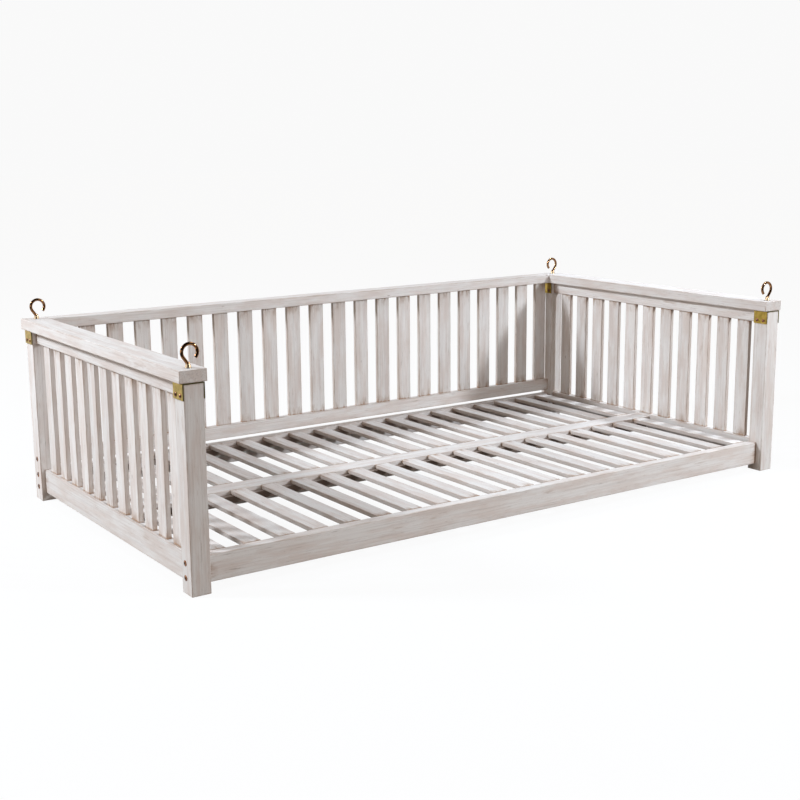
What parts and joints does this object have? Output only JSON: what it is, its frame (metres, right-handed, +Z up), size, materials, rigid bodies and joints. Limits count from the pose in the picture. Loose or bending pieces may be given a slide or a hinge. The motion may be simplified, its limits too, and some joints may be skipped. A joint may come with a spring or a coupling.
{
  "type": "hanging swing bed",
  "caption": "Slatted wooden daybed frame with raised back and sides and an open front, hung from an open hook bolt on top of each corner post.",
  "frame": {"origin": "at floor level under the posts' feet, in the middle of the bed's outline in plan", "axes": "+X along the bed's length, +Y from the open front to the back panel, +Z up"},
  "size_m": [2.02, 1.06, 0.5925],
  "materials": {
    "wood": "white-washed, satin, grain shows through",
    "dowel_wood": "bare beech",
    "saddle_metal": "yellow zinc plate, satin",
    "hook_metal": "polished bronze-coloured plate",
    "bolt_metal": "dark bronze-coloured plate",
    "inner_steel": "zinc plate"
  },
  "bodies": {
    "frame": {"post_front_left": "wood", "post_front_right": "wood", "post_back_left": "wood", "post_back_right": "wood", "cap_left": "wood", "cap_right": "wood", "cap_back": "wood", "upper_rail_left": "wood", "upper_rail_right": "wood", "bottom_rail_left": "wood", "bottom_rail_right": "wood", "side_slats_left": "wood", "side_slats_right": "wood", "back_slats": "wood", "back_bottom_rail": "wood", "back_lower_rail": "wood", "front_rail": "wood", "centre_beam": "wood", "ledger_front": "wood", "ledger_centre_front": "wood", "ledger_centre_back": "wood", "ledger_back": "wood", "deck_slats_front": "wood", "deck_slats_back": "wood", "saddle_front_left": "saddle_metal", "saddle_front_right": "saddle_metal", "saddle_back_left": "saddle_metal", "saddle_back_right": "saddle_metal", "hook_washers": "hook_metal", "saddle_nuts": "inner_steel", "saddle_screws": "saddle_metal", "rail_bolts": "bolt_metal", "barrel_nuts": "inner_steel", "rail_dowels": "dowel_wood", "cap_dowels": "dowel_wood", "cap_screws": "inner_steel", "ledger_screws": "inner_steel", "slat_screws": "inner_steel"},
    "hook_bolt_front_left": {"hook_front_left": "hook_metal"},
    "hook_bolt_front_right": {"hook_front_right": "hook_metal"},
    "hook_bolt_back_left": {"hook_back_left": "hook_metal"},
    "hook_bolt_back_right": {"hook_back_right": "hook_metal"}
  },
  "joints": [
    {"name": "hook_turn_front_left", "type": "hinge", "parent": "frame", "child": "hook_bolt_front_left", "pos_m": [-0.975, -0.505, 0.533], "axis": [0, 0, 1], "range_deg": [-180, 180]},
    {"name": "hook_turn_front_right", "type": "hinge", "parent": "frame", "child": "hook_bolt_front_right", "pos_m": [0.975, -0.505, 0.533], "axis": [0, 0, 1], "range_deg": [-180, 180]},
    {"name": "hook_turn_back_left", "type": "hinge", "parent": "frame", "child": "hook_bolt_back_left", "pos_m": [-0.975, 0.495, 0.533], "axis": [0, 0, 1], "range_deg": [-180, 180]},
    {"name": "hook_turn_back_right", "type": "hinge", "parent": "frame", "child": "hook_bolt_back_right", "pos_m": [0.975, 0.495, 0.533], "axis": [0, 0, 1], "range_deg": [-180, 180]}
  ]
}
